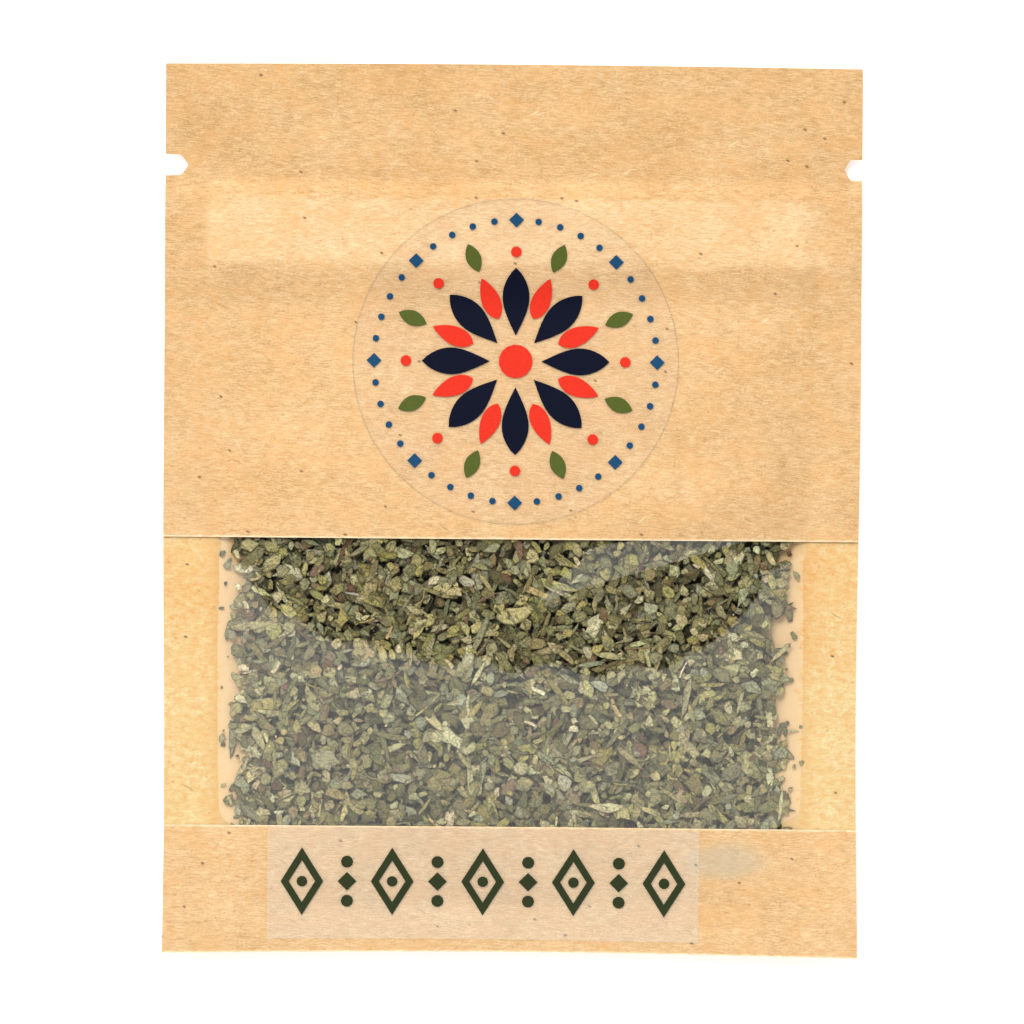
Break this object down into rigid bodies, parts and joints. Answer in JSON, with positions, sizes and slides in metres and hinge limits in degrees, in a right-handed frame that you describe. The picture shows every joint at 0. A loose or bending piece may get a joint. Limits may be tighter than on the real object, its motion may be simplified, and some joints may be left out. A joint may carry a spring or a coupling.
{
  "type": "filled herb packet",
  "caption": "Small flat kraft-paper zip packet with a clear film window, filled with dried coriander leaf and lying on its back.",
  "frame": {"origin": "centre of the packet's outline, on the surface that its back rests on", "axes": "+X across the packet to the right of its front, +Y from its foot to its head, +Z out of its front"},
  "size_m": [0.07, 0.0896, 0.0046],
  "materials": {
    "kraft_back": "unbleached kraft paper laminated to an inner film, matt, with short fibres along the width",
    "kraft_front": "unbleached kraft paper strips, matt, cut edges slightly pale",
    "clear_film": "clear cast packaging film, glossy",
    "clear_sticker": "clear adhesive label, satin",
    "zip_plastic": "translucent white extruded zip profile",
    "dried_leaf": "dry crumbled leaf, matt olive green with brown stalk and straw bits"
  },
  "bodies": {
    "root": {"back_panel": "kraft_back", "front_film": "clear_film", "paper_strip_upper": "kraft_front", "paper_strip_lower": "kraft_front", "round_sticker": "clear_sticker", "name_sticker": "clear_sticker", "zip_track_back": "zip_plastic", "zip_track_front": "zip_plastic", "dried_leaf": "dried_leaf"}
  },
  "joints": []
}
